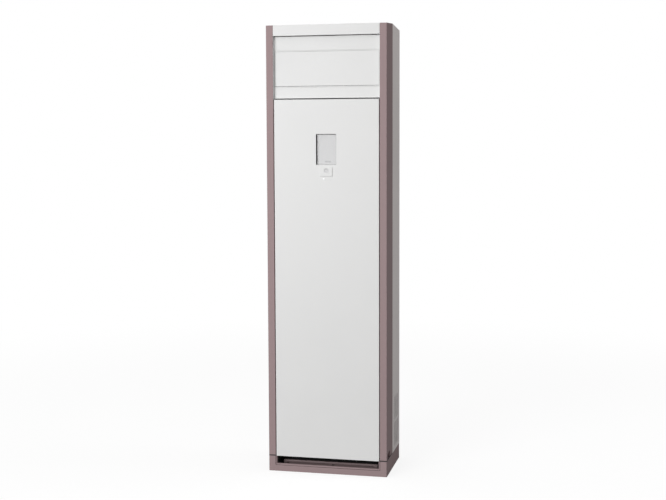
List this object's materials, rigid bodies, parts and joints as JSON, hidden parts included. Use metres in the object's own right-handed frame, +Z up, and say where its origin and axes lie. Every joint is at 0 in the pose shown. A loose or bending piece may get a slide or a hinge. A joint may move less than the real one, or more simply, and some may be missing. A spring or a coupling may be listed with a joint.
{
  "type": "floor standing air conditioner",
  "caption": "Slim floor standing indoor cooling tower with corner columns, a plain front panel, a display and a hinged outlet flap near the top.",
  "frame": {"origin": "on the floor, under the middle of the cabinet", "axes": "+Z up, -Y out of the front panel, +X to the right as one looks at the front"},
  "size_m": [0.472, 0.3, 1.75],
  "materials": {
    "white_plastic": "smooth semi-gloss moulding",
    "mauve_plastic": "satin mauve-grey moulding",
    "painted_steel": "near white powder coat",
    "galvanised_steel": "dull zinc",
    "rubber": "matt black",
    "display_plastic": "dark grey moulding",
    "display_window": "clear cover over a pale grey screen",
    "key_plastic": "soft grey key",
    "bearing_plastic": "natural acetal",
    "duct_plastic": "pale grey moulding",
    "aluminium_fins": "thin bright fins",
    "filter_mesh": "black woven mesh"
  },
  "bodies": {
    "cabinet": {"back_panel": "painted_steel", "base_pan": "galvanised_steel", "base_plinth": "mauve_plastic", "cable_gland": "rubber", "column_left": "mauve_plastic", "column_right": "mauve_plastic", "cooling_coil": "aluminium_fins", "display_tray": "display_plastic", "display_window": "display_window", "duct_back": "duct_plastic", "duct_wall_left": "duct_plastic", "duct_wall_right": "duct_plastic", "flap_bearing_left": "bearing_plastic", "flap_bearing_right": "bearing_plastic", "foot_front_left": "rubber", "foot_front_right": "rubber", "foot_rear_left": "rubber", "foot_rear_right": "rubber", "front_panel": "white_plastic", "guide_vane_1": "white_plastic", "guide_vane_2": "white_plastic", "guide_vane_3": "white_plastic", "guide_vane_4": "white_plastic", "guide_vane_5": "white_plastic", "guide_vane_6": "white_plastic", "guide_vane_7": "white_plastic", "intake_filter_left": "filter_mesh", "intake_filter_right": "filter_mesh", "key_plate": "white_plastic", "outlet_lower_band": "white_plastic", "outlet_upper_band": "white_plastic", "pipe_cover": "painted_steel", "power_key": "key_plastic", "side_panel_left": "painted_steel", "side_panel_right": "painted_steel", "signal_lens": "display_window", "slot_rail": "mauve_plastic", "top_cap": "white_plastic", "top_cover": "painted_steel", "vane_link": "duct_plastic", "wall_bracket": "galvanised_steel"},
    "flap": {"outlet_flap": "white_plastic"}
  },
  "joints": [
    {"name": "outlet_flap_hinge", "type": "hinge", "parent": "cabinet", "child": "flap", "pos_m": [0, -0.1249, 1.53036], "axis": [1, 0, 0], "range_deg": [0, 80]}
  ]
}
